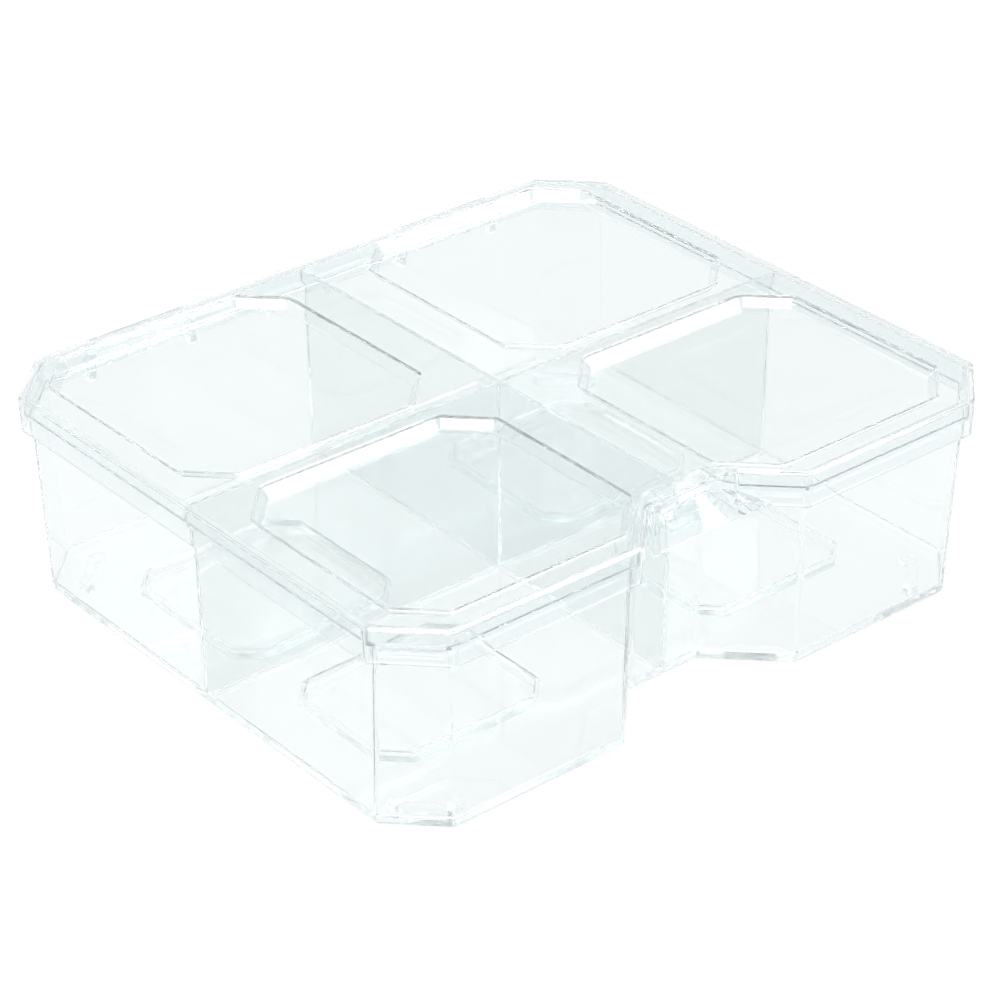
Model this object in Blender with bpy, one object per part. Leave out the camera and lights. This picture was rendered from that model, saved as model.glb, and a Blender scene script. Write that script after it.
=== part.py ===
"""Clear moulded parts organizer: a four-compartment tray under a hinged lid with a finger latch.

Frame: metres, +Z up, the latch faces -Y and the hinges face +Y. The origin is the centre of
the closed box, hinges included, on the surface that it stands on. Lengths below are in
millimetres, measured from the centre of the lid, which is CENTRE_SHIFT behind the origin.
"""
import math

import bmesh
import bpy
from mathutils import Vector

MM = 0.001
CENTRE_SHIFT = 1.65

# Heights above the surface.
FLOOR_UNDERSIDE = 2.2
FLOOR_THICKNESS = 2.3
RIM_STEP_Z = 54.2
RIM_STEP_HEIGHT = 1.1
RIM_TOP = 59.4
SKIRT_BOTTOM = 51.0
LID_TOP = 61.0

# Tray walls.
WALL = 1.2
TRAY_HALF_X = 95.8
TRAY_HALF_Y = 82.8
TRAY_DRAFT = 1.0
TRAY_CHAMFER_BOTTOM = 13.4
TRAY_CHAMFER_TOP = 12.0
TRAY_NOTCH_FLAT = 11.3
TRAY_NOTCH_DEPTH = 17.8
TRAY_EDGE_RADIUS = 1.6
TRAY_FLOOR_RADIUS = 1.2
TRAY_CORNER_RADIUS = 2.5
RIM_CORNER_RADIUS = 3.0
RIM_HALF_X = 98.2
RIM_HALF_Y = 85.5
RIM_CHAMFER = 13.9
RIM_NOTCH_FLAT = 10.1
RIM_NOTCH_DEPTH = 17.8
DIVIDER = 1.2

# Features under the floor.
PAD_HALF_X = 25.9
PAD_CENTRE_X = 52.0
PAD_CHAMFER = 6.5
PAD_CORNER_RADIUS = 2.5
PAD_FRONT_Y = (-53.4, -9.4)
PAD_BACK_Y = (7.4, 60.2)
FOOT_OUTER_X = 88.0
FOOT_OUTER_Y = 76.5
FOOT_CHAMFER = 9.3
FOOT_LEG = 3.6
FOOT_WIDTH = 2.4
GROOVE_WIDTH = 2.2
GROOVE_DEPTH = 0.9

# Lid.
LID_WALL = 1.2
LID_HALF_X = 100.0
LID_HALF_Y = 87.3
LID_CHAMFER = 15.0
LID_NOTCH_MOUTH = 27.2
LID_NOTCH_FLAT = 14.7
LID_NOTCH_DEPTH = 12.5
LID_EDGE_RADIUS = 1.3
LID_INNER_RADIUS = 0.5
LID_CORNER_RADIUS = 2.8
SKIRT_TUCK = 0.4
WELL_INNER_X = 13.5
WELL_OUTER_X = 90.5
WELL_FRONT_Y = (-79.0, -4.9)
WELL_BACK_Y = (4.1, 82.6)
WELL_CHAMFER = 10.8
WELL_NOTCH_CHAMFER = 12.0
WELL_DEPTH = 2.7
WELL_SLOPE_IN = 2.1
WELL_CORNER_RADIUS = 3.0
WELL_EDGE_RADIUS = 1.4
WELL_FLOOR_RADIUS = 0.5
WELL_THICKNESS = 1.1
SLOT_HALF_X = 8.7
SLOT_Y = (-73.7, -68.0)

# Hinges at the back: two pins held by the lid's lugs and gripped by the tray's hooks.
PIN_Y = 88.0
PIN_Z = 51.7
PIN_RADIUS = 1.1
HOOK_CLEARANCE = 0.1
LUG_CLEARANCE = 0.05
HINGE_CENTRE_X = 52.25
LUG_OFFSET = 16.25
LUG_WIDTH = 2.0
HOOK_OFFSET = 6.5
HOOK_WIDTH = 5.2
HOOK_OUTER_RADIUS = 2.6
WINDOW_TOP = 56.9
RIB_OFFSET = 10.0
RIB_WIDTH = 1.6

# Latch: a hooded finger tab that bends about its root on the lid's front edge.
TAB_GAP = 0.3
TAB_ROOT_HALF = 13.5
TAB_LIP_HALF = 19.8
TAB_THICKNESS = 1.0
TAB_FRONT_Y = -74.8
TAB_LIP_Y = -81.8
TAB_LIP_Z = 53.3
ARCH_FOOT_Z = 55.7
ARCH_RISE = 3.9
TAB_STATIONS = 16
LEG_HALF_X = 7.5
NOSE_Y = -70.2
NOSE_Z = (51.6, 54.8)
CATCH_HALF_X = 8.0
CATCH_Y = -71.3
CATCH_Z = (55.2, 56.8)


# ---------------------------------------------------------------- outlines

def notched_outline(half_x, half_y, chamfer, mouth, flat, depth):
    """Rectangle with chamfered corners and a trapezoid notch in the middle of its front."""
    return [
        (-half_x + chamfer, -half_y),
        (-mouth, -half_y),
        (-flat, -half_y + depth),
        (flat, -half_y + depth),
        (mouth, -half_y),
        (half_x - chamfer, -half_y),
        (half_x, -half_y + chamfer),
        (half_x, half_y - chamfer),
        (half_x - chamfer, half_y),
        (-half_x + chamfer, half_y),
        (-half_x, half_y - chamfer),
        (-half_x, -half_y + chamfer),
    ]


def octagon(x_range, y_range, legs):
    """Rectangle with chamfered corners; legs run front-left, front-right, back-right, back-left."""
    (x0, x1), (y0, y1) = x_range, y_range
    fl, fr, br, bl = legs
    return [
        (x0 + fl, y0),
        (x1 - fr, y0),
        (x1, y0 + fr),
        (x1, y1 - br),
        (x1 - br, y1),
        (x0 + bl, y1),
        (x0, y1 - bl),
        (x0, y0 + fl),
    ]


def grown(outline, distance):
    """The outline with each edge moved outward by distance (inward where it is negative)."""
    count = len(outline)
    lines = []
    for i in range(count):
        start = Vector(outline[i])
        along = (Vector(outline[(i + 1) % count]) - start).normalized()
        outward = Vector((along.y, -along.x))
        lines.append((start + outward * distance, along))
    result = []
    for i in range(count):
        (p, u), (q, v) = lines[i - 1], lines[i]
        cross = u.x * v.y - u.y * v.x
        step = ((q.x - p.x) * v.y - (q.y - p.y) * v.x) / cross
        result.append(tuple(p + u * step))
    return result


def rounded(outline, growth, radius, steps=3):
    """The outline moved outward by growth, its corners turned into arcs of matching radius."""
    corners = [Vector(p) for p in grown(outline, growth)]
    result = []
    for i, corner in enumerate(corners):
        arriving = (corner - corners[i - 1]).normalized()
        leaving = (corners[(i + 1) % len(corners)] - corner).normalized()
        turn = math.atan2(
            arriving.x * leaving.y - arriving.y * leaving.x, arriving.dot(leaving))
        side = math.copysign(1.0, turn)
        size = max(radius + growth * side, 0.3)
        start = corner - arriving * size * math.tan(abs(turn) / 2)
        centre = start + Vector((-arriving.y, arriving.x)) * size * side
        spoke = start - centre
        for step in range(steps + 1):
            angle = turn * step / steps
            result.append((
                centre.x + spoke.x * math.cos(angle) - spoke.y * math.sin(angle),
                centre.y + spoke.x * math.sin(angle) + spoke.y * math.cos(angle)))
    return result


def tray_outline(height, growth=0.0):
    """Outer face of the tray wall at a height, up to the rim step, moved outward by growth."""
    share = (height - FLOOR_UNDERSIDE) / (RIM_STEP_Z - FLOOR_UNDERSIDE)
    spread = TRAY_DRAFT * share
    chamfer = TRAY_CHAMFER_BOTTOM + (TRAY_CHAMFER_TOP - TRAY_CHAMFER_BOTTOM) * share
    narrowing = spread * (math.sqrt(2) - 1)
    flat = TRAY_NOTCH_FLAT - narrowing
    outline = notched_outline(
        TRAY_HALF_X + spread, TRAY_HALF_Y + spread, chamfer,
        flat + TRAY_NOTCH_DEPTH, flat, TRAY_NOTCH_DEPTH)
    return rounded(outline, growth, TRAY_CORNER_RADIUS)


def rim_outline(growth=0.0):
    """Outer face of the tray rim above its step, moved outward by growth."""
    outline = notched_outline(
        RIM_HALF_X, RIM_HALF_Y, RIM_CHAMFER,
        RIM_NOTCH_FLAT + RIM_NOTCH_DEPTH, RIM_NOTCH_FLAT, RIM_NOTCH_DEPTH)
    return rounded(outline, growth, RIM_CORNER_RADIUS)


def lid_outline(inset=0.0):
    """Outer face of the lid, moved inward by inset."""
    full = notched_outline(
        LID_HALF_X, LID_HALF_Y, LID_CHAMFER,
        LID_NOTCH_MOUTH, LID_NOTCH_FLAT, LID_NOTCH_DEPTH)
    return rounded(full, -inset, LID_CORNER_RADIUS)


def arc(centre, radius, start, stop, steps):
    """Points on a circle from one angle to another, in degrees."""
    points = []
    for i in range(steps + 1):
        angle = math.radians(start + (stop - start) * i / steps)
        points.append((centre[0] + radius * math.cos(angle), centre[1] + radius * math.sin(angle)))
    return points


def fillet(before, corner, after, radius, steps=3):
    """Points of an arc that rounds the corner between two straight lines."""
    before, corner, after = Vector(before), Vector(corner), Vector(after)
    arriving = (corner - before).normalized()
    leaving = (after - corner).normalized()
    turn = math.atan2(arriving.x * leaving.y - arriving.y * leaving.x, arriving.dot(leaving))
    side = math.copysign(1.0, turn)
    start = corner - arriving * radius * math.tan(abs(turn) / 2)
    centre = start + Vector((-arriving.y, arriving.x)) * radius * side
    spoke = start - centre
    points = []
    for step in range(steps + 1):
        angle = turn * step / steps
        points.append((
            centre.x + spoke.x * math.cos(angle) - spoke.y * math.sin(angle),
            centre.y + spoke.x * math.sin(angle) + spoke.y * math.cos(angle)))
    return points


# ---------------------------------------------------------------- solids

def clear_plastic(name, tint):
    """Glossy see-through plastic."""
    material = bpy.data.materials.new(name)
    material.use_nodes = True
    shader = material.node_tree.nodes["Principled BSDF"]
    shader.inputs["Base Color"].default_value = (*tint, 1.0)
    shader.inputs["Roughness"].default_value = 0.04
    shader.inputs["Metallic"].default_value = 0.0
    shader.inputs["IOR"].default_value = 1.57
    shader.inputs["Transmission Weight"].default_value = 1.0
    shader.inputs["Alpha"].default_value = 0.4
    return material


def mesh_object(name, points, faces, origin=(0.0, 0.0, 0.0)):
    """One object from points in millimetres, with its own origin."""
    mesh = bpy.data.meshes.new(name)
    base = Vector(origin)
    mesh.from_pydata([(Vector(p) - base) * MM for p in points], [], faces)
    mesh.update()
    item = bpy.data.objects.new(name, mesh)
    item.location = base * MM
    bpy.context.scene.collection.objects.link(item)
    return item


def ring_faces(levels, count):
    """Side and end faces of a stack of outlines with the same number of points."""
    faces = [tuple(reversed(range(count)))]
    for level in range(levels - 1):
        low = level * count
        for i in range(count):
            j = (i + 1) % count
            faces.append((low + i, low + j, low + count + j, low + count + i))
    top = (levels - 1) * count
    faces.append(tuple(range(top, top + count)))
    return faces


def loft(name, sections, origin=(0.0, 0.0, 0.0)):
    """Closed solid through outlines at rising heights."""
    points = [(x, y, z) for z, outline in sections for x, y in outline]
    faces = ring_faces(len(sections), len(sections[0][1]))
    return mesh_object(name, points, faces, origin)


def loft_group(name, outlines_at, sections, origin=(0.0, 0.0, 0.0)):
    """Several closed solids in one mesh; outlines_at gives their outlines for each growth."""
    levels = [(z, outlines_at(growth)) for z, growth in sections]
    points = []
    faces = []
    for item in range(len(levels[0][1])):
        base = len(points)
        for z, outlines in levels:
            points += [(x, y, z) for x, y in outlines[item]]
        count = len(levels[0][1][item])
        faces += [tuple(base + k for k in face) for face in ring_faces(len(levels), count)]
    return mesh_object(name, points, faces, origin)


def prism_group(name, outlines, z_range, origin=(0.0, 0.0, 0.0)):
    """Several upright prisms in one mesh."""
    return loft_group(name, lambda growth: outlines, [(z, 0.0) for z in z_range], origin)


def slab_group(name, profile, x_ranges, origin=(0.0, 0.0, 0.0)):
    """A (y, z) profile, counter-clockwise seen from +X, run along X over each range."""
    points = []
    faces = []
    for x_range in x_ranges:
        base = len(points)
        for x in x_range:
            points += [(x, y, z) for y, z in profile]
        faces += [tuple(base + k for k in face) for face in ring_faces(2, len(profile))]
    return mesh_object(name, points, faces, origin)


def block(name, x_range, y_range, z_range, origin=(0.0, 0.0, 0.0)):
    """Plain box between two corners."""
    (x0, x1), (y0, y1) = x_range, y_range
    return prism_group(name, [[(x0, y0), (x1, y0), (x1, y1), (x0, y1)]], z_range, origin)


def combine(target, tool, operation):
    """Adds or removes a hidden tool body."""
    modifier = target.modifiers.new(tool.name, "BOOLEAN")
    modifier.operation = operation
    modifier.solver = "EXACT"
    modifier.object = tool
    tool.hide_render = True
    tool.display_type = "WIRE"


def finish(item, material):
    """Material and shading of a finished part."""
    item.data.materials.append(material)
    item.data.shade_smooth()
    item.data.set_sharp_from_angle(angle=math.radians(30))


def mirrored_ranges(ranges):
    """Each (low, high) range together with its mirror image about zero."""
    return [pair for low, high in ranges for pair in ((low, high), (-high, -low))]


# ---------------------------------------------------------------- tray

def tray_shell():
    """Outer body of the tray with its stepped rim."""
    rim = rim_outline()
    edge = fillet(
        (-10.0, FLOOR_UNDERSIDE), (0.0, FLOOR_UNDERSIDE), (0.0, RIM_STEP_Z), TRAY_EDGE_RADIUS, 4)
    sections = [(z, tray_outline(FLOOR_UNDERSIDE, growth)) for growth, z in edge]
    sections.append((RIM_STEP_Z, tray_outline(RIM_STEP_Z)))
    sections.append((RIM_STEP_Z + RIM_STEP_HEIGHT, rim))
    sections.append((RIM_TOP, rim))
    return loft("tray", sections)


def tray_cavity():
    """Space inside the tray, split by the two dividers into four compartments."""
    floor_top = FLOOR_UNDERSIDE + FLOOR_THICKNESS
    step_low = tray_outline(RIM_STEP_Z, -WALL)
    rim = rim_outline(-WALL)
    step_z = RIM_STEP_Z + 0.8
    edge = fillet((-10.0, floor_top), (-WALL, floor_top), (-WALL, RIM_STEP_Z), TRAY_FLOOR_RADIUS)
    sections = [(z, tray_outline(FLOOR_UNDERSIDE, growth)) for growth, z in edge]
    cavity = loft("compartments_tool", sections + [
        (step_z, step_low),
        (step_z + RIM_STEP_HEIGHT, rim),
        (RIM_TOP + 2.0, rim),
    ])
    half = DIVIDER / 2
    low_high = (FLOOR_UNDERSIDE, RIM_TOP + 3.0)
    along_y = block("divider_front_back_tool", (-half, half), (-120, 120), low_high)
    along_x = block("divider_left_right_tool", (-120, 120), (-half, half), low_high)
    combine(cavity, along_y, "DIFFERENCE")
    combine(cavity, along_x, "DIFFERENCE")
    return cavity


def pad_outlines(growth):
    """Outlines of the four sunken floor pads."""
    outlines = []
    for y_range in (PAD_FRONT_Y, PAD_BACK_Y):
        for side in (-1, 1):
            centre = side * PAD_CENTRE_X
            x_range = (centre - PAD_HALF_X, centre + PAD_HALF_X)
            outline = octagon(x_range, y_range, [PAD_CHAMFER] * 4)
            outlines.append(rounded(outline, growth, PAD_CORNER_RADIUS))
    return outlines


def corner_foot(sign_x, sign_y):
    """C-shaped rib that follows one corner of the tray."""
    outer = [
        (FOOT_OUTER_X, FOOT_OUTER_Y - FOOT_CHAMFER - FOOT_LEG),
        (FOOT_OUTER_X, FOOT_OUTER_Y - FOOT_CHAMFER),
        (FOOT_OUTER_X - FOOT_CHAMFER, FOOT_OUTER_Y),
        (FOOT_OUTER_X - FOOT_CHAMFER - FOOT_LEG, FOOT_OUTER_Y),
    ]
    bend = FOOT_WIDTH * (math.sqrt(2) - 1)
    inner = [
        (outer[3][0], FOOT_OUTER_Y - FOOT_WIDTH),
        (outer[2][0] - bend, FOOT_OUTER_Y - FOOT_WIDTH),
        (FOOT_OUTER_X - FOOT_WIDTH, outer[1][1] - bend),
        (FOOT_OUTER_X - FOOT_WIDTH, outer[0][1]),
    ]
    outline = [(sign_x * x, sign_y * y) for x, y in outer + inner]
    if sign_x * sign_y < 0:
        outline.reverse()
    return outline


def hook_profile():
    """(y, z) profile of a tray hook that reaches over its hinge pin and curls under it."""
    centre = (PIN_Y, PIN_Z)
    inner_radius = PIN_RADIUS + HOOK_CLEARANCE
    outside = arc(centre, HOOK_OUTER_RADIUS, -55, 90, 8)
    inside = arc(centre, inner_radius, 150, -55, 12)
    root = [(86.2, 56.2), (84.9, 56.2), (84.9, 54.9), (85.9, 54.0)]
    return outside + root + inside


def make_tray():
    """Tray, dividers, floor pads, corner feet, hinge hooks and latch catch in one moulding."""
    tray = tray_shell()
    combine(tray, tray_cavity(), "DIFFERENCE")
    floor_top = FLOOR_UNDERSIDE + FLOOR_THICKNESS
    pads = loft_group("pads_tool", pad_outlines, [
        (0.0, -0.5), (0.15, -0.15), (0.5, 0.0), (FLOOR_UNDERSIDE + 0.6, 0.0)])
    recesses = loft_group("pad_recess_tool", pad_outlines, [
        (WALL, -WALL - 0.6), (WALL + 0.15, -WALL - 0.2), (WALL + 0.6, -WALL),
        (floor_top - 0.3, -WALL), (floor_top, -WALL + 0.25), (floor_top + 0.6, -WALL + 0.75)])
    combine(tray, pads, "UNION")
    combine(tray, recesses, "DIFFERENCE")
    corners = [corner_foot(sx, sy) for sx in (-1, 1) for sy in (-1, 1)]
    feet = prism_group("corner_feet_tool", corners, (0.0, FLOOR_UNDERSIDE + 0.6))
    combine(tray, feet, "UNION")
    half = GROOVE_WIDTH / 2
    groove_z = (FLOOR_UNDERSIDE - 1.0, FLOOR_UNDERSIDE + GROOVE_DEPTH)
    for name, x_range, y_range in (
            ("groove_front_back_tool", (-half, half), (-110, 110)),
            ("groove_left_right_tool", (-110, 110), (-half, half))):
        combine(tray, block(name, x_range, y_range, groove_z), "DIFFERENCE")
    hook_ranges = []
    for offset in (-HOOK_OFFSET, HOOK_OFFSET):
        middle = HINGE_CENTRE_X + offset
        hook_ranges.append((middle - HOOK_WIDTH / 2, middle + HOOK_WIDTH / 2))
    hooks = slab_group("hooks_tool", hook_profile(), mirrored_ranges(hook_ranges))
    combine(tray, hooks, "UNION")
    rim_front = -(RIM_HALF_Y - RIM_NOTCH_DEPTH)
    catch = block("catch_tool", (-CATCH_HALF_X, CATCH_HALF_X), (CATCH_Y, rim_front + 0.6), CATCH_Z)
    combine(tray, catch, "UNION")
    return tray


# ---------------------------------------------------------------- lid

def well_outlines(growth):
    """Outlines of the four recesses in the lid top, moved outward by growth."""
    plain = WELL_CHAMFER
    notch = WELL_NOTCH_CHAMFER
    left = (-WELL_OUTER_X, -WELL_INNER_X)
    right = (WELL_INNER_X, WELL_OUTER_X)
    shapes = [
        octagon(left, WELL_FRONT_Y, [plain, notch, plain, plain]),
        octagon(right, WELL_FRONT_Y, [notch, plain, plain, plain]),
        octagon(left, WELL_BACK_Y, [plain] * 4),
        octagon(right, WELL_BACK_Y, [plain] * 4),
    ]
    return [rounded(shape, growth, WELL_CORNER_RADIUS) for shape in shapes]


def well_recess_sections():
    """(z, growth) sections of a lid recess, from its floor up through the panel."""
    floor = (-WELL_SLOPE_IN, LID_TOP - WELL_DEPTH)
    edge = (0.0, LID_TOP)
    lower = fillet((-9.0, floor[1]), floor, edge, WELL_FLOOR_RADIUS, 2)
    upper = fillet(floor, edge, (9.0, LID_TOP), WELL_EDGE_RADIUS)
    last = (upper[-1][0] + 1.5, LID_TOP + 0.5)
    return [(z, growth) for growth, z in lower + upper + [last]]


def well_jacket_sections():
    """(z, growth) sections of the material below a lid recess, up into the panel."""
    slope = math.hypot(WELL_SLOPE_IN, WELL_DEPTH)
    across = WELL_THICKNESS * WELL_DEPTH / slope
    below = WELL_THICKNESS * WELL_SLOPE_IN / slope
    run = WELL_SLOPE_IN / WELL_DEPTH
    floor_z = LID_TOP - WELL_DEPTH - LID_WALL
    top_z = LID_TOP - LID_WALL + 0.5
    floor = (across - (LID_TOP - below - floor_z) * run, floor_z)
    top = (across - (LID_TOP - below - top_z) * run, top_z)
    lower = fillet((-9.0, floor_z), floor, top, WELL_FLOOR_RADIUS + WELL_THICKNESS)
    return [(z, growth) for growth, z in lower + [top]]


def lug_profile():
    """(y, z) profile of a lid lug that carries the end of a hinge pin."""
    return [
        (86.4, 48.3), (87.6, 48.3), (89.9, 50.8), (89.9, 54.2), (87.1, 58.6), (85.95, 58.6),
        (85.95, 49.6),
    ]


def rib_profile():
    """(y, z) profile of a small rib under the back of the skirt."""
    return [(86.3, 48.6), (87.0, 48.6), (87.2, 54.0), (85.95, 54.0), (85.95, 49.4)]


def hinge_axis():
    """Point on the hinge axis, midway between the hinges."""
    return (0.0, PIN_Y, PIN_Z)


def make_lid():
    """Lid panel with its skirt, four recesses, latch notch and slot, and hinge lugs."""
    origin = hinge_axis()
    outer_edge = fillet((0.0, SKIRT_BOTTOM), (0.0, LID_TOP), (9.0, LID_TOP), LID_EDGE_RADIUS)
    lid = loft(
        "lid", [(SKIRT_BOTTOM, lid_outline(SKIRT_TUCK))]
        + [(z, lid_outline(inset)) for inset, z in outer_edge], origin)
    underside = LID_TOP - LID_WALL
    inner_edge = fillet(
        (LID_WALL, SKIRT_BOTTOM), (LID_WALL, underside), (9.0, underside), LID_INNER_RADIUS)
    hollow = loft(
        "lid_hollow_tool", [
            (SKIRT_BOTTOM - 2.0, lid_outline(SKIRT_TUCK + LID_WALL)),
            (SKIRT_BOTTOM, lid_outline(SKIRT_TUCK + LID_WALL))]
        + [(z, lid_outline(inset)) for inset, z in inner_edge], origin)
    combine(lid, hollow, "DIFFERENCE")
    jackets = loft_group("well_jacket_tool", well_outlines, well_jacket_sections(), origin)
    combine(lid, jackets, "UNION")
    recesses = loft_group("well_tool", well_outlines, well_recess_sections(), origin)
    combine(lid, recesses, "DIFFERENCE")
    seat_x = (-LID_NOTCH_FLAT + 0.1, LID_NOTCH_FLAT - 0.1)
    seat_y = (TAB_FRONT_Y - 4.0, TAB_FRONT_Y + TAB_THICKNESS + TAB_GAP)
    seat = block("latch_seat_tool", seat_x, seat_y, (46.0, 66.0), origin)
    combine(lid, seat, "DIFFERENCE")
    mouth_y = (TAB_FRONT_Y - 4.0, TAB_FRONT_Y + SKIRT_TUCK + LID_WALL + 0.2)
    mouth = block("latch_mouth_tool", seat_x, mouth_y, (46.0, underside), origin)
    combine(lid, mouth, "DIFFERENCE")
    slot = block("slot_tool", (-SLOT_HALF_X, SLOT_HALF_X), SLOT_Y, (56.0, 66.0), origin)
    combine(lid, slot, "DIFFERENCE")
    inner_edge = LUG_OFFSET - LUG_WIDTH / 2
    window = slab_group(
        "hinge_window_tool", [(84.0, 46.0), (92.0, 46.0), (92.0, WINDOW_TOP), (84.0, WINDOW_TOP)],
        mirrored_ranges([(HINGE_CENTRE_X - inner_edge, HINGE_CENTRE_X + inner_edge)]), origin)
    combine(lid, window, "DIFFERENCE")
    lug_ranges = []
    for offset in (-LUG_OFFSET, LUG_OFFSET):
        middle = HINGE_CENTRE_X + offset
        lug_ranges.append((middle - LUG_WIDTH / 2, middle + LUG_WIDTH / 2))
    lugs = slab_group("lugs_tool", lug_profile(), mirrored_ranges(lug_ranges), origin)
    combine(lid, lugs, "UNION")
    rib_range = (RIB_OFFSET - RIB_WIDTH / 2, RIB_OFFSET + RIB_WIDTH / 2)
    ribs = slab_group("ribs_tool", rib_profile(), mirrored_ranges([rib_range]), origin)
    combine(lid, ribs, "UNION")
    bore = arc((PIN_Y, PIN_Z), PIN_RADIUS + LUG_CLEARANCE, 0, 345, 23)
    bores = slab_group("lug_bore_tool", bore, [(-80, 80)], origin)
    combine(lid, bores, "DIFFERENCE")
    return lid


def make_pin(name, side):
    """Hinge pin through both lugs of one hinge."""
    reach = LUG_OFFSET + LUG_WIDTH / 2
    middle = side * HINGE_CENTRE_X
    round_profile = arc((PIN_Y, PIN_Z), PIN_RADIUS, 0, 345, 23)
    origin = (middle, PIN_Y, PIN_Z)
    return slab_group(name, round_profile, [(middle - reach, middle + reach)], origin)


# ---------------------------------------------------------------- latch

def tab_profile(share):
    """(x factor, y, z) points of the hood at a share of its half width, outer side first."""
    arch_z = ARCH_FOOT_Z + ARCH_RISE * (1 - share * share)
    arch_y = TAB_FRONT_Y - 0.4
    along = Vector((TAB_LIP_Y - arch_y, TAB_LIP_Z - arch_z)).normalized()
    inward = Vector((-along.y, along.x)) * TAB_THICKNESS
    back_y = TAB_FRONT_Y + TAB_THICKNESS
    inner_z = arch_z + inward.y + along.y / along.x * (back_y - arch_y - inward.x)
    return [
        (0.0, TAB_FRONT_Y, LID_TOP),
        (0.1, arch_y, arch_z),
        (1.0, TAB_LIP_Y, TAB_LIP_Z),
        (1.0, TAB_LIP_Y + inward.x, TAB_LIP_Z + inward.y),
        (0.0, back_y, inner_z),
        (0.0, back_y, LID_TOP),
    ]


def make_latch_tab():
    """Finger tab: a hood that flares outward, with a hooked leg behind it."""
    origin = latch_axis()
    points = []
    sides = 6
    for station in range(TAB_STATIONS + 1):
        share = -1 + 2 * station / TAB_STATIONS
        for flare, y, z in tab_profile(share):
            half = TAB_ROOT_HALF + (TAB_LIP_HALF - TAB_ROOT_HALF) * flare
            points.append((share * half, y, z))
    faces = []
    for station in range(TAB_STATIONS):
        low = station * sides
        for i in range(sides):
            j = (i + 1) % sides
            faces.append((low + i, low + j, low + sides + j, low + sides + i))
    last = TAB_STATIONS * sides
    for first, second in (((5, 4, 1, 0), (0, 1, 4, 5)), ((4, 3, 2, 1), (1, 2, 3, 4))):
        faces.append(first)
        faces.append(tuple(last + k for k in second))
    tab = mesh_object("latch_tab", points, faces, origin)
    back_y = TAB_FRONT_Y + TAB_THICKNESS
    leg_profile = [
        (TAB_FRONT_Y, NOSE_Z[0]), (back_y + 0.9, NOSE_Z[0]), (NOSE_Y, NOSE_Z[1] - 0.6),
        (NOSE_Y, NOSE_Z[1]), (back_y, NOSE_Z[1]), (back_y, LID_TOP - 0.4), (TAB_FRONT_Y, LID_TOP - 0.4),
    ]
    leg = slab_group("latch_leg_tool", leg_profile, [(-LEG_HALF_X, LEG_HALF_X)], origin)
    combine(tab, leg, "UNION")
    return tab


def latch_axis():
    """Point on the bending axis of the latch, in the middle of its root."""
    return (0.0, TAB_FRONT_Y + TAB_THICKNESS / 2, LID_TOP - LID_WALL / 2)


# ---------------------------------------------------------------- assembly

def main():
    for item in list(bpy.data.objects):
        bpy.data.objects.remove(item)
    finish(make_tray(), clear_plastic("tray_plastic", (0.90, 0.95, 0.94)))
    finish(make_lid(), clear_plastic("lid_plastic", (0.92, 0.97, 0.96)))
    finish(make_latch_tab(), clear_plastic("latch_plastic", (0.92, 0.97, 0.96)))
    for name, side in (("hinge_pin_left", -1), ("hinge_pin_right", 1)):
        finish(make_pin(name, side), clear_plastic(name + "_plastic", (0.86, 0.93, 0.92)))
    for item in bpy.data.objects:
        item.location.y -= CENTRE_SHIFT * MM


main()
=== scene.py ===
import math

import bmesh
import bpy
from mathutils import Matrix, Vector


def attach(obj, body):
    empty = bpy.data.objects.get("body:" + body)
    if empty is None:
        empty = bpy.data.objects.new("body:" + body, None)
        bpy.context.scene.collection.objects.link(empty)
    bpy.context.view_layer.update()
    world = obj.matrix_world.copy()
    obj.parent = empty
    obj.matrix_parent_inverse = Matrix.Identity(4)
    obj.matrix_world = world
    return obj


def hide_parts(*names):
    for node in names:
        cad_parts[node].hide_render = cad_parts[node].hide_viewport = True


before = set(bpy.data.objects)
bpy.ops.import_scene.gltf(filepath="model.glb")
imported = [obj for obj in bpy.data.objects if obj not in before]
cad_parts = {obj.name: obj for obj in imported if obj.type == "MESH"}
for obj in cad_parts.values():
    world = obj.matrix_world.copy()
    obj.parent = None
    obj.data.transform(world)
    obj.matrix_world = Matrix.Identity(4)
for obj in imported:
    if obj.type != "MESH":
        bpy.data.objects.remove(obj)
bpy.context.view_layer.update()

MM = 0.001
CENTRE_SHIFT = 1.65

# Camera, in degrees and millimetres.
AZIMUTH = 39.42
ELEVATION = 30.3
ROLL = -0.42
DISTANCE = 920.5
LENS = 126.8
SENSOR = 36.0
AIM_HEIGHT = 33.0
AIM_RIGHT = 0.15
AIM_UP = -7.05

# Clear moulded plastic. A tint acts at each surface, the deep tint by the depth that light
# passes through.
REFRACTION = 1.57
CLARITY = 0.99
# Painted glow: the plastic gives off a faint teal light of its own, which lightens the lines
# where light is caught inside the walls.
GLOW = 0.007
GLOW_TINT = (0.93, 1.0, 1.0)
WALL_TINT = (0.948, 0.969, 0.971)
# The lid's tint is the plastic's own tint, made darker than the tray's wall tint as painted
# shade on the top of the box.
LID_TINT_AND_SHADE = (0.911, 0.940, 0.943)
DIVIDER_TINT = (0.872, 0.900, 0.898)
DEEP_TINT = (0.30, 0.60, 0.62)
DENSITY = 1.0
PIN_DENSITY = 6.0
DIVIDER_HALF = 0.75
BUMP_STRENGTH = 0.05
SMOOTHEST = 0.015
DULLEST = 0.05

# Moulded radii, in millimetres, and the angles that decide what is flat and what is an edge.
EDGE_RADIUS = 0.35
PIN_EDGE_RADIUS = 0.2
WELD = 0.002
FLAT_ANGLE = 0.6
EDGE_ANGLE = 25.0

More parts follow.
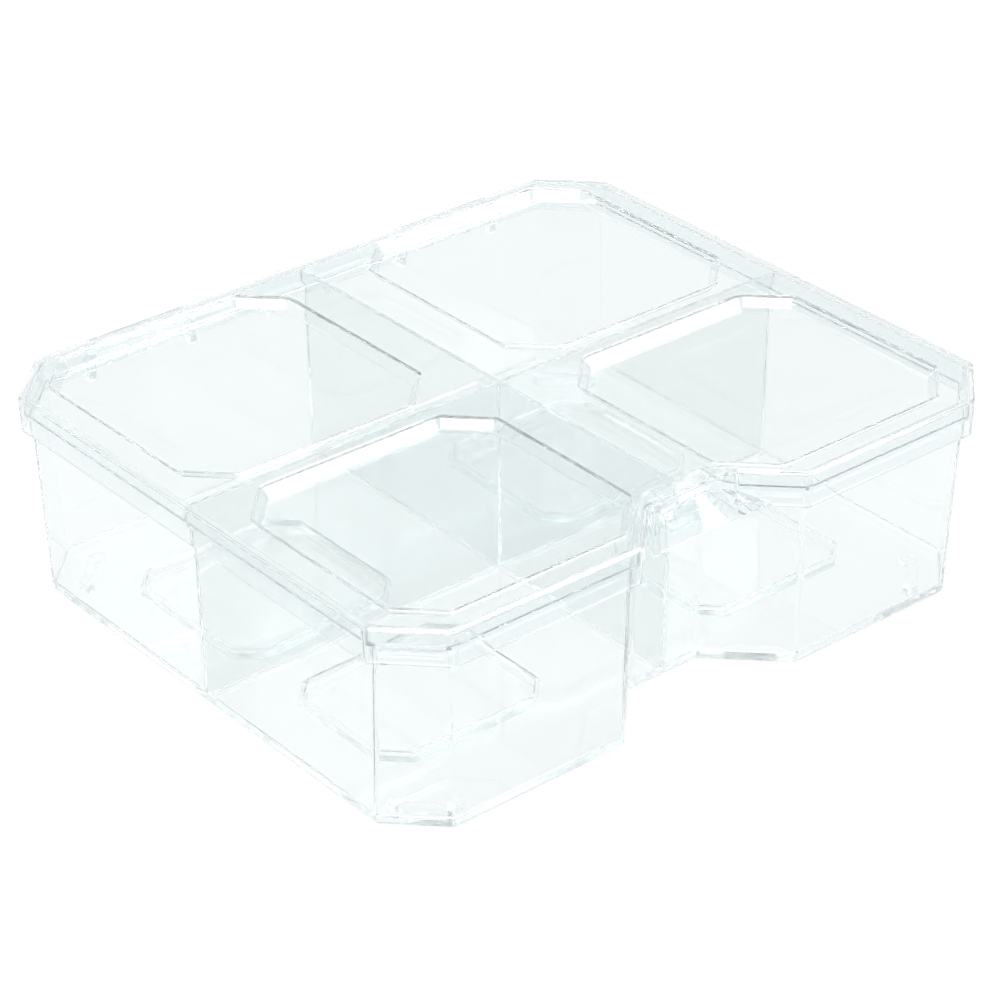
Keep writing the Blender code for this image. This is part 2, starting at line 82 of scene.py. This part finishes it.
# Studio.
FLOOR_HALF = 6.0
FLOOR_DROP = 0.4
FLOOR_ALBEDO = 0.05
FLOOR_LIGHT = 0.97
HORIZON = 0.7
FULL_SKY = 0.55
LIGHTS = (
    ("key", (-0.75, -0.6, 1.0), 0.6, 6.0),
    ("rim", (0.6, 0.4, 1.1), 0.6, 6.0),
    ("side", (0.75, -0.85, 0.75), 0.4, 1.9),
)
LIGHT_AIM = (0.0, 0.0, 0.03)
RAY_DEPTH = 80
CLEAR_DEPTH = 16


def set_inputs(node, values):
    """Sets a node's sockets by name."""
    for name, value in values.items():
        node.inputs[name].default_value = value


def clear_plastic(name, tint, density, ripple_scale):
    """Clear plastic: faint tint by depth, a faint painted glow, polish that varies, and
    shallow moulding ripples.
    """
    material = bpy.data.materials.new(name)
    material.use_nodes = True
    tree = material.node_tree
    shader = tree.nodes["Principled BSDF"]
    output = tree.nodes["Material Output"]
    set_inputs(shader, {
        "Base Color": (*tint, 1.0),
        "Metallic": 0.0,
        "IOR": REFRACTION,
        "Transmission Weight": CLARITY,
        # Painted glow: a faint teal emission lightens the plastic where light is caught inside
        # the walls.
        "Emission Color": (*GLOW_TINT, 1.0),
        "Emission Strength": GLOW,
    })
    where = tree.nodes.new("ShaderNodeTexCoord")
    haze = tree.nodes.new("ShaderNodeTexNoise")
    set_inputs(haze, {"Scale": 45.0, "Detail": 4.0, "Roughness": 0.6})
    polish = tree.nodes.new("ShaderNodeMapRange")
    set_inputs(polish, {
        "From Min": 0.3,
        "From Max": 0.75,
        "To Min": SMOOTHEST,
        "To Max": DULLEST,
    })
    waves = tree.nodes.new("ShaderNodeTexNoise")
    set_inputs(waves, {"Scale": ripple_scale, "Detail": 1.5, "Roughness": 0.4})
    bump = tree.nodes.new("ShaderNodeBump")
    set_inputs(bump, {"Strength": BUMP_STRENGTH, "Distance": MM})
    volume = tree.nodes.new("ShaderNodeVolumeAbsorption")
    set_inputs(volume, {"Color": (*DEEP_TINT, 1.0), "Density": density})
    link = tree.links.new
    link(where.outputs["Object"], haze.inputs["Vector"])
    link(where.outputs["Object"], waves.inputs["Vector"])
    link(haze.outputs["Fac"], polish.inputs["Value"])
    link(polish.outputs["Result"], shader.inputs["Roughness"])
    link(waves.outputs["Fac"], bump.inputs["Height"])
    link(bump.outputs["Normal"], shader.inputs["Normal"])
    link(volume.outputs["Volume"], output.inputs["Volume"])
    return material


def tint_dividers(material, tint):
    """Gives the tray's two crossing dividers a darker tint than its outer walls."""
    tree = material.node_tree
    shader = tree.nodes["Principled BSDF"]
    where = tree.nodes.new("ShaderNodeTexCoord")
    split = tree.nodes.new("ShaderNodeSeparateXYZ")
    tree.links.new(where.outputs["Object"], split.inputs["Vector"])
    either = tree.nodes.new("ShaderNodeMath")
    either.operation = "MAXIMUM"
    for socket, axis, centre in zip(either.inputs, "XY", (0.0, -CENTRE_SHIFT)):
        band = tree.nodes.new("ShaderNodeMath")
        band.operation = "COMPARE"
        band.inputs[1].default_value = centre * MM
        band.inputs[2].default_value = DIVIDER_HALF * MM
        tree.links.new(split.outputs[axis], band.inputs[0])
        tree.links.new(band.outputs["Value"], socket)
    blend = tree.nodes.new("ShaderNodeMix")
    blend.data_type = "RGBA"
    factor, first, second = blend.inputs[0], blend.inputs[6], blend.inputs[7]
    first.default_value = shader.inputs["Base Color"].default_value
    second.default_value = (*tint, 1.0)
    tree.links.new(either.outputs["Value"], factor)
    tree.links.new(blend.outputs[2], shader.inputs["Base Color"])


def softened(node, name, width):
    """A copy of a CAD node with small moulded radii on its edges."""
    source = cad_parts[node]
    mesh = bpy.data.meshes.new(name)
    bm = bmesh.new()
    bm.from_mesh(source.data)
    bmesh.ops.remove_doubles(bm, verts=bm.verts, dist=WELD * MM)
    bmesh.ops.dissolve_limit(
        bm, angle_limit=math.radians(FLAT_ANGLE), verts=bm.verts, edges=bm.edges)
    bm.to_mesh(mesh)
    bm.free()
    piece = bpy.data.objects.new(name, mesh)
    bpy.context.scene.collection.objects.link(piece)
    bevel = piece.modifiers.new("radii", "BEVEL")
    bevel.width = width * MM
    bevel.segments = 2
    bevel.limit_method = "ANGLE"
    bevel.angle_limit = math.radians(EDGE_ANGLE)
    bevel.use_clamp_overlap = True
    bevel.harden_normals = False
    mesh.shade_smooth()
    weighted = piece.modifiers.new("normals", "WEIGHTED_NORMAL")
    weighted.keep_sharp = False
    return piece


def add_piece(node, body, width, material):
    """The moulding that stands in for a CAD node and moves with its body."""
    piece = softened(node, node + "_moulding", width)
    piece.data.materials.clear()
    piece.data.materials.append(material)
    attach(piece, body)
    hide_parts(node)


def make_floor():
    """Plain white floor, lit from within so that clear plastic doesn't grey it."""
    half = FLOOR_HALF
    corners = [(-half, -half, 0), (half, -half, 0), (half, half, 0), (-half, half, 0)]
    mesh = bpy.data.meshes.new("floor")
    mesh.from_pydata(corners, [], [(0, 1, 2, 3)])
    floor = bpy.data.objects.new("floor", mesh)
    floor.location.z = -FLOOR_DROP * MM
    bpy.context.scene.collection.objects.link(floor)
    material = bpy.data.materials.new("floor_white")
    material.use_nodes = True
    set_inputs(material.node_tree.nodes["Principled BSDF"], {
        "Base Color": (FLOOR_ALBEDO, FLOOR_ALBEDO, FLOOR_ALBEDO, 1.0),
        "Roughness": 1.0,
        "Specular IOR Level": 0.0,
        "Emission Color": (1.0, 1.0, 1.0, 1.0),
        "Emission Strength": FLOOR_LIGHT,
    })
    mesh.materials.append(material)


def area_light(name, location, size, power):
    """Square softbox that faces the object."""
    data = bpy.data.lights.new(name, "AREA")
    data.shape = "SQUARE"
    data.size = size
    data.energy = power
    light = bpy.data.objects.new(name, data)
    bpy.context.scene.collection.objects.link(light)
    light.location = location
    towards = Vector(LIGHT_AIM) - Vector(location)
    light.rotation_euler = towards.to_track_quat("-Z", "Y").to_euler()


def make_world():
    """Pale surroundings, a little darker at the horizon."""
    world = bpy.data.worlds.new("studio")
    bpy.context.scene.world = world
    world.use_nodes = True
    tree = world.node_tree
    where = tree.nodes.new("ShaderNodeTexCoord")
    split = tree.nodes.new("ShaderNodeSeparateXYZ")
    ramp = tree.nodes.new("ShaderNodeValToRGB")
    low, high = ramp.color_ramp.elements
    low.position = 0.0
    low.color = (HORIZON, HORIZON, HORIZON, 1.0)
    high.position = FULL_SKY
    high.color = (1.0, 1.0, 1.0, 1.0)
    background = tree.nodes["Background"]
    tree.links.new(where.outputs["Generated"], split.inputs["Vector"])
    tree.links.new(split.outputs["Z"], ramp.inputs["Fac"])
    tree.links.new(ramp.outputs["Color"], background.inputs["Color"])
    background.inputs["Strength"].default_value = 1.0


def make_camera():
    """Camera at the photograph's viewing angle."""
    az, el, roll = (math.radians(v) for v in (AZIMUTH, ELEVATION, ROLL))
    forward = Vector((
        math.sin(az) * math.cos(el), math.cos(az) * math.cos(el), -math.sin(el)))
    level = Vector((math.cos(az), -math.sin(az), 0.0))
    rise = level.cross(forward)
    right = level * math.cos(roll) + rise * math.sin(roll)
    up = rise * math.cos(roll) - level * math.sin(roll)
    centre = Vector((0.0, -CENTRE_SHIFT, AIM_HEIGHT))
    target = centre + right * AIM_RIGHT + up * AIM_UP
    data = bpy.data.cameras.new("camera")
    data.lens = LENS
    data.sensor_width = SENSOR
    data.clip_start = 0.01
    camera = bpy.data.objects.new("camera", data)
    bpy.context.scene.collection.objects.link(camera)
    rotation = camera.matrix_world.to_3x3()
    rotation.col[0], rotation.col[1], rotation.col[2] = right, up, -forward
    camera.matrix_world = rotation.to_4x4()
    camera.location = (target - forward * DISTANCE) * MM
    bpy.context.scene.camera = camera


def set_ray_depth():
    """Lets light that is caught inside the walls find its way out."""
    scene = bpy.context.scene
    scene.view_settings.view_transform = "Standard"
    scene.cycles.max_bounces = RAY_DEPTH
    scene.cycles.transmission_bounces = RAY_DEPTH
    scene.cycles.glossy_bounces = RAY_DEPTH
    scene.cycles.diffuse_bounces = RAY_DEPTH
    scene.cycles.transparent_max_bounces = CLEAR_DEPTH


def main():
    tray = clear_plastic("tray_clear", WALL_TINT, DENSITY, 30.0)
    tint_dividers(tray, DIVIDER_TINT)
    # The lid, latch and pins share the lid's tint, which carries painted shade on top of the
    # plastic's own tint.
    lid = clear_plastic("lid_clear", LID_TINT_AND_SHADE, DENSITY, 35.0)
    latch = clear_plastic("latch_clear", LID_TINT_AND_SHADE, DENSITY, 60.0)
    pin = clear_plastic("pin_clear", LID_TINT_AND_SHADE, PIN_DENSITY, 80.0)
    add_piece("tray", "tray", EDGE_RADIUS, tray)
    add_piece("lid", "lid", EDGE_RADIUS, lid)
    add_piece("latch_tab", "latch", EDGE_RADIUS, latch)
    add_piece("hinge_pin_left", "lid", PIN_EDGE_RADIUS, pin)
    add_piece("hinge_pin_right", "lid", PIN_EDGE_RADIUS, pin)
    make_floor()
    make_world()
    for name, location, size, power in LIGHTS:
        area_light(name, location, size, power)
    make_camera()
    set_ray_depth()


main()
